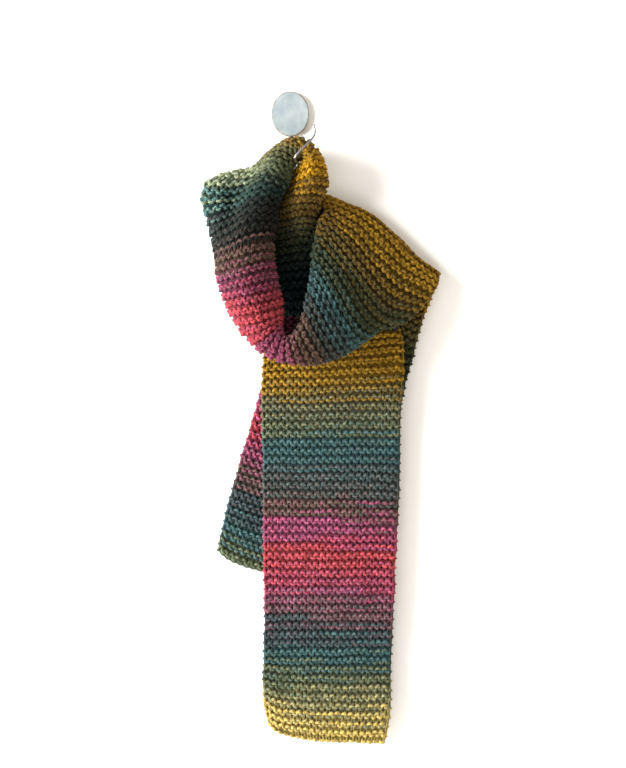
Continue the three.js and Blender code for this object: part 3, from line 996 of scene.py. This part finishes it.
def shaded_core_wool(stretch):
    """The same wool deep between the stitches, where little light falls, its dye darkened there as painted
    shade and mottled.
    """
    material, tree, shader = new_material(f"{stretch.name}_shaded_core_wool")
    where = object_place(tree)
    colour = dye_ramp(tree, attribute(tree, "share", "Fac"), stretch.dyes)
    # Painted shade: the dye darkened, mottled at random
    shade_and_mottle = spread(tree, texture(tree, where, CORE_MOTTLE_SCALE), *CORE_SHADE_AND_MOTTLE)
    feed(tree, toned(tree, colour, shade_and_mottle), shader["Base Color"])
    bumped(tree, shader, texture(tree, where, CORE_GRAIN_SCALE), *CORE_RELIEF)
    woollen(shader)
    return material


def painted(colour):
    return (*linear(colour), 1)


def rim_reach(tree, where):
    """How far out on the oval each place lies, one at its rim, with a ragged edge."""
    to_rim = (1 / PLATE_HALF_WIDTH, 0.0, 1 / PLATE_HALF_HEIGHT)
    length = add_node(tree, "ShaderNodeVectorMath", operation="LENGTH")
    feed(tree, vector_maths(tree, "MULTIPLY", where, to_rim), length.inputs[0])
    ragged = maths(tree, "MULTIPLY", texture(tree, where, RUBBED_SCALE, 4.0), RUBBED_DEPTH)
    return maths(tree, "ADD", length.outputs["Value"], ragged)


def plate_paint():
    """Pale blue-grey paint, a little uneven, rubbed to a tan ground along the rim."""
    material, tree, shader = new_material("plate_paint")
    where = object_place(tree)
    cloud = spread(tree, texture(tree, where, PAINT_CLOUD_SCALE, 5.0, 0.6), 0.0, 1.0)
    paint = mixed(tree, "MIX", cloud, painted(PAINT_COOL), painted(PAINT_PALE))
    rubbed = eased(tree, rim_reach(tree, where), *RUBBED_RIM)
    feed(tree, mixed(tree, "MIX", rubbed, paint, painted(PAINT_GROUND)), shader["Base Color"])
    gloss = spread(tree, texture(tree, where, PAINT_GLOSS_SCALE), *PAINT_GLOSS)
    feed(tree, gloss, shader["Roughness"])
    bumped(tree, shader, texture(tree, where, PAINT_GRAIN_SCALE), *PAINT_RELIEF)
    return material


def drawn_steel():
    """Bright wire with the fine marks of drawing and handling."""
    material, tree, shader = new_material("drawn_steel")
    where = object_place(tree)
    tone = spread(tree, texture(tree, where, STEEL_CLOUD_SCALE, 4.0), *STEEL_TONE)
    feed(tree, grey(tree, tone), shader["Base Color"])
    gloss = spread(tree, texture(tree, where, STEEL_GLOSS_SCALE), *STEEL_GLOSS)
    feed(tree, gloss, shader["Roughness"])
    shader["Metallic"].default_value = 1.0
    bumped(tree, shader, texture(tree, where, STEEL_GRAIN_SCALE), *STEEL_RELIEF)
    return material


# The room


def pale_surface(name, colour):
    material, tree, shader = new_material(name)
    shader["Base Color"].default_value = (*colour, 1)
    shader["Roughness"].default_value = 0.9
    return material, tree


def wall_plaster():
    """Pale plaster that is seen only from the room, so that views from behind stay open."""
    material, tree = pale_surface("wall_plaster", WALL_PAINT)
    plaster = tree.nodes["Principled BSDF"]
    clear = add_node(tree, "ShaderNodeBsdfTransparent")
    side = add_node(tree, "ShaderNodeNewGeometry").outputs["Backfacing"]
    choice = add_node(tree, "ShaderNodeMixShader")
    feed(tree, side, choice.inputs[0])
    feed(tree, plaster.outputs[0], choice.inputs[1])
    feed(tree, clear.outputs[0], choice.inputs[2])
    feed(tree, choice.outputs[0], tree.nodes["Material Output"].inputs["Surface"])
    return material


def flat_panel(name, outline, material):
    mesh = bpy.data.meshes.new(name)
    mesh.from_pydata(outline, [], [(0, 1, 2, 3)])
    mesh.materials.append(material)
    panel = add_object(name, mesh)
    return panel


def room():
    left, right = -ROOM_HALF_WIDTH, ROOM_HALF_WIDTH
    front, back = -ROOM_HALF_DEPTH, ROOM_HALF_DEPTH
    wall_foot = [(left, WALL_AT, FLOOR_AT), (right, WALL_AT, FLOOR_AT)]
    wall_head = [(right, WALL_AT, WALL_TOP), (left, WALL_AT, WALL_TOP)]
    wall = flat_panel("room_wall", wall_foot + wall_head, wall_plaster())
    wall.visible_shadow = False
    floor_front = [(left, front, FLOOR_AT), (right, front, FLOOR_AT)]
    floor_back = [(right, back, FLOOR_AT), (left, back, FLOOR_AT)]
    floor_paint, _ = pale_surface("floor_paint", FLOOR_PAINT)
    flat_panel("room_floor", floor_front + floor_back, floor_paint)
    world = bpy.data.worlds.new("soft_room")
    world.use_nodes = True
    background = world.node_tree.nodes["Background"]
    background.inputs["Color"].default_value = (*SKY, 1)
    background.inputs["Strength"].default_value = SKY_STRENGTH
    bpy.context.scene.world = world


def soft_light(name, at, size, power, colour):
    data = bpy.data.lights.new(name, "AREA")
    data.shape = "DISK"
    data.size = size
    data.energy = power
    data.color = colour
    light = bpy.data.objects.new(name, data)
    light.location = at
    aim = Vector(LIGHTS_POINT_AT) - Vector(at)
    light.rotation_euler = aim.to_track_quat("-Z", "Y").to_euler()
    bpy.context.scene.collection.objects.link(light)


def lights():
    for light in LIGHTS:
        soft_light(*light)


def camera():
    data = bpy.data.cameras.new("viewer")
    data.sensor_width = CAMERA_SENSOR
    data.lens = CAMERA_LENS
    data.clip_end = CAMERA_REACH
    viewer = bpy.data.objects.new("viewer", data)
    viewer.location = [value * MM for value in CAMERA_AT]
    viewer.rotation_euler = (math.pi / 2, 0, 0)
    bpy.context.scene.collection.objects.link(viewer)
    bpy.context.scene.camera = viewer
    bpy.context.scene.view_settings.view_transform = "Standard"


# The scarf


def mean_width(sections):
    return float(np.linalg.norm(np.diff(sections, axis=1), axis=2).sum(axis=1).mean())


def stretch_run(stretch, start, end, places, run):
    """Where a stretch begins and ends along the strip, a little further at a free end."""
    free_end = FREE_ENDS.get(stretch.name, 0)
    first = np.interp(start, places, run) - max(-free_end, 0) * END_RUN * MM
    last = np.interp(end, places, run) + max(free_end, 0) * END_RUN * MM
    return first, last


def yarn_sizes(stretch, rows):
    """What the knitting tree is told about a stretch."""
    return {
        "Stitches": stretch.stitches,
        "Rows": rows,
        "Yarn radius": YARN_RADIUS * MM,
        "Loop depth": LOOP_DEPTH * MM,
        "Unevenness": UNEVENNESS * MM,
        "Slack": SLACK * MM,
        "Free end": FREE_ENDS.get(stretch.name, 0),
        "Seed": stretch.seed,
        "Wool": yarn_wool(stretch, rows),
    }


def stretch_of_scarf(stretch, start, end, strip, tree):
    """Makes one stretch: its core sheet and the yarn knitted over it."""
    table, leads, places, run = strip
    first, last = stretch_run(stretch, start, end, places, run)
    length = last - first
    rows = 2 * max(1, round(length / (RIDGE_PITCH * MM)))
    wanted = first + length / rows * np.arange(-SPARE_ROWS, rows + SPARE_ROWS + 1)
    sections = sections_at(table, leads, places, run, wanted)
    along = (wanted - first) / length
    across = np.linspace(0, 1, POINTS_ACROSS)
    shown = slice(SPARE_ROWS, -SPARE_ROWS)
    width = mean_width(sections[shown])
    sections = creased(sections, along, across, stretch.creases, length, width)
    core = core_sheet(f"{stretch.name}_core", sections[shown], shaded_core_wool(stretch))
    sizes = yarn_sizes(stretch, rows)
    sheet = middle_sheet(f"{stretch.name}_middle", sections, rows)
    yarn = knitted(f"{stretch.name}_yarn", sheet, tree, sizes)
    for piece in (core, yarn):
        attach(piece, "root")
    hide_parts(stretch.name)


def scarf():
    """Makes the stretches in turn, each up to the table row that the next one starts with."""
    table = strip_table()
    leads = row_leads()
    strip = (table, leads, *run_along(table, leads))
    tree = knitting_tree()
    row = 0
    for stretch in STRETCHES:
        end = min(row + len(stretch.rows), len(table) - 1)
        stretch_of_scarf(stretch, row, end, strip, tree)
        row = end


def hook(nodes):
    for name, material in (("wall_plate", plate_paint()), ("wire_hook", drawn_steel())):
        nodes[name].material_slots[0].material = material


def corners(box):
    return [list(corner) for corner in box]


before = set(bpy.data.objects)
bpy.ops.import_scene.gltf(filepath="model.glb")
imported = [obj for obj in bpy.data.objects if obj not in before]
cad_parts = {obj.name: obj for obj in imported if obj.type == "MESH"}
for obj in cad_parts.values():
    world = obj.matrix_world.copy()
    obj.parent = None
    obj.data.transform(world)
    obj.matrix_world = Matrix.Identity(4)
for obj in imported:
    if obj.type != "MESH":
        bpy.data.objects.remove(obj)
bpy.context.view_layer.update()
camera()
room()
lights()
scarf()
hook(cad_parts)
